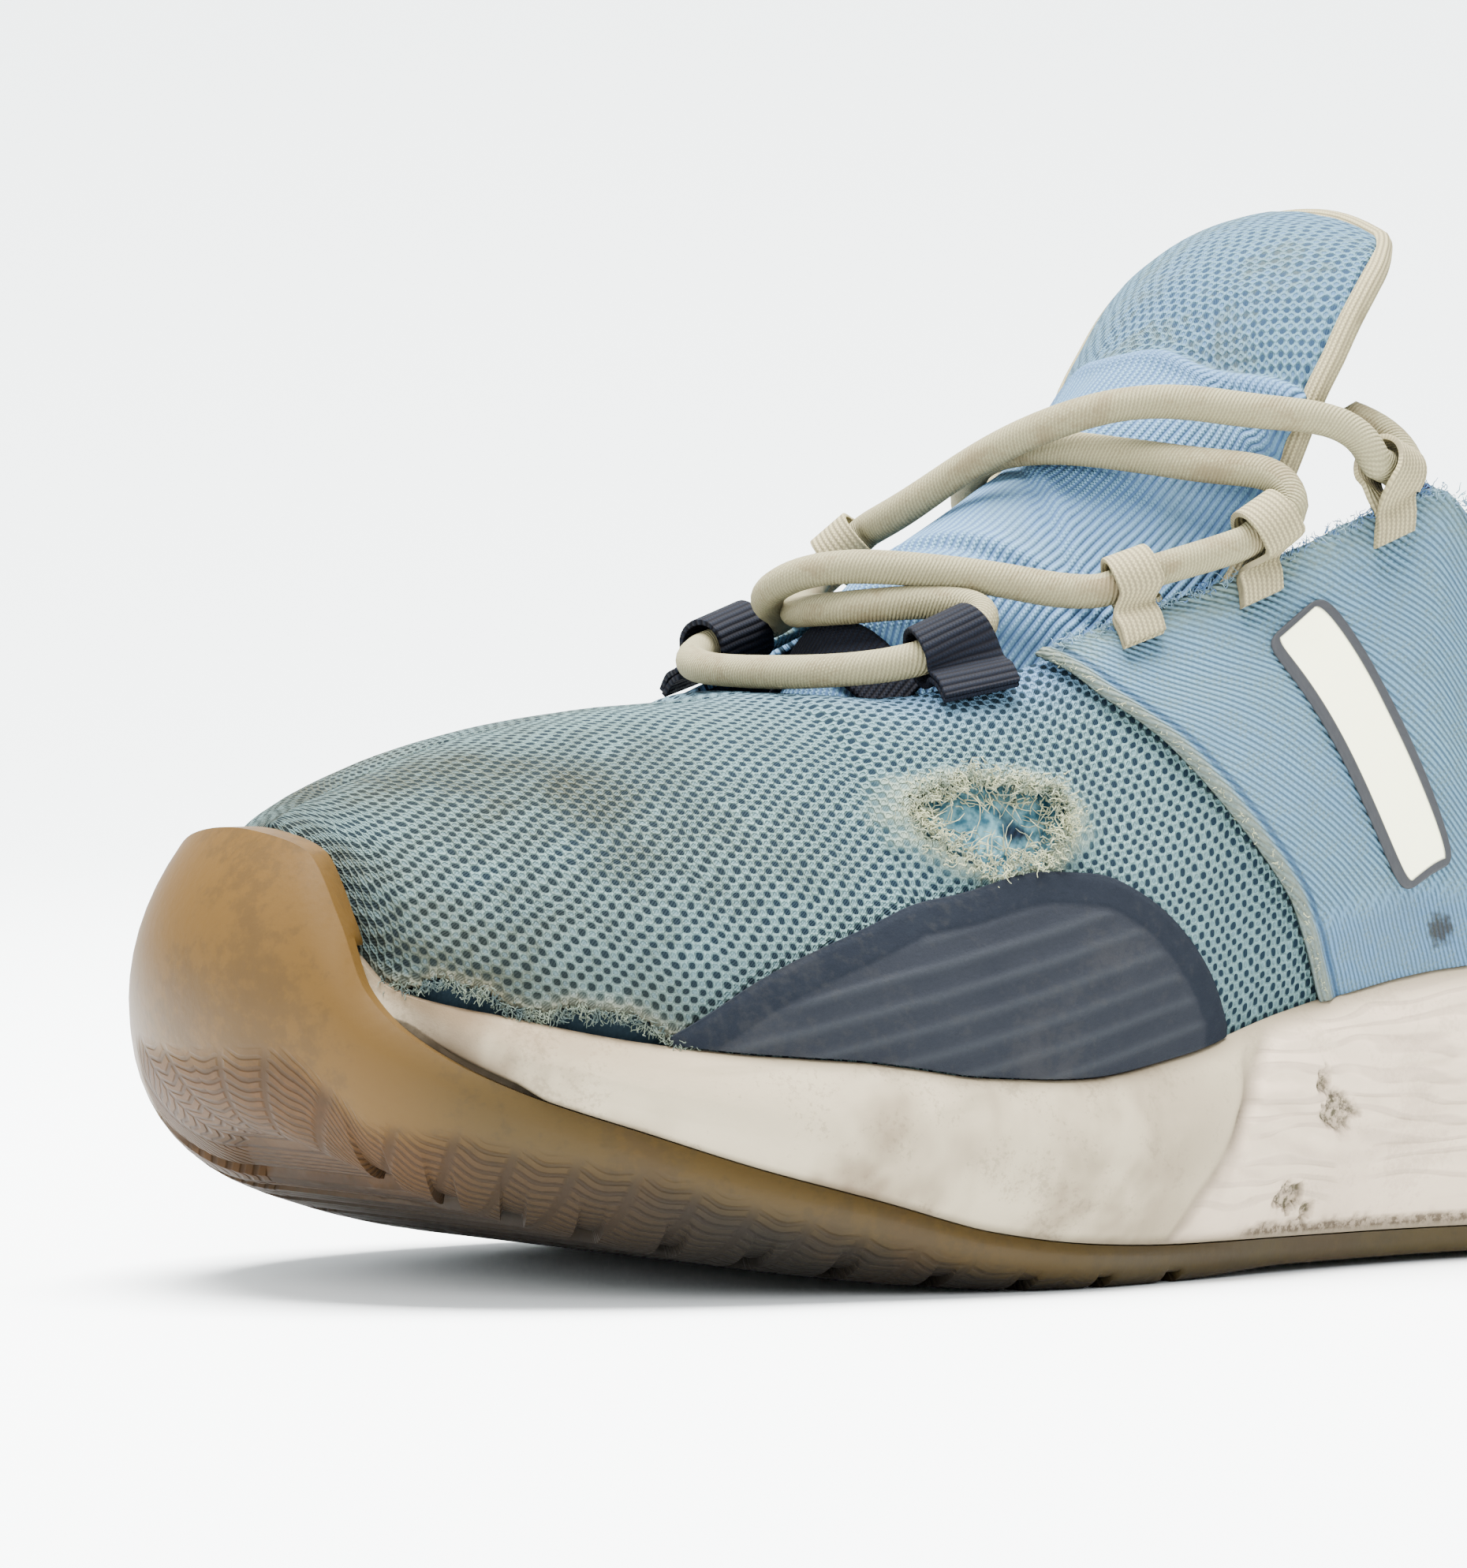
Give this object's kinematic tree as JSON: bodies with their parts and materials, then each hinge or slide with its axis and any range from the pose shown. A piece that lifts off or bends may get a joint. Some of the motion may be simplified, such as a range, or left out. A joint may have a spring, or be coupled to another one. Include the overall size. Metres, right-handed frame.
{
  "type": "worn out sneaker",
  "caption": "Worn left running shoe: hollow knitted upper with tongue and lace on a foam midsole and grooved rubber outsole.",
  "frame": {"origin": "on the floor under the middle of the shoe's box", "axes": "toe to -Y, heel to +Y, outer (lateral) side to +X, up +Z"},
  "size_m": [0.1064, 0.29, 0.1303],
  "materials": {
    "gum_rubber": "gum rubber, amber and translucent at the toe, scuffed",
    "foam": "cream foam, creased and dirty",
    "insole_felt": "flattened textile",
    "mesh_knit": "open mesh knit in light blue over dark teal, dirty towards the toe",
    "ribbed_knit": "ribbed knit, light blue with grey-green threads, frayed hem",
    "navy_overlay": "matte bonded overlay with raised slanted lines, scuffed",
    "tongue_knit": "mesh above, ribbed sleeve below",
    "lining_textile": "padded navy textile",
    "navy_webbing": "ribbed navy ribbon",
    "cream_webbing": "folded cream webbing, frayed",
    "cotton_cord": "round braided lace, 4.5 mm, soiled"
  },
  "bodies": {
    "root": {"outsole": "gum_rubber", "midsole": "foam", "insole": "insole_felt", "upper": "mesh_knit", "quarter": "ribbed_knit", "forefoot_patch": "navy_overlay", "tongue": "tongue_knit", "collar_lining": "lining_textile", "lace_tab": "navy_webbing", "tab_loop_lateral": "navy_webbing", "tab_loop_medial": "navy_webbing", "lace_loop_lateral_1": "cream_webbing", "lace_loop_lateral_2": "cream_webbing", "lace_loop_lateral_3": "cream_webbing", "lace_loop_medial_1": "cream_webbing", "lace_loop_medial_2": "cream_webbing", "lace": "cotton_cord"}
  },
  "joints": []
}
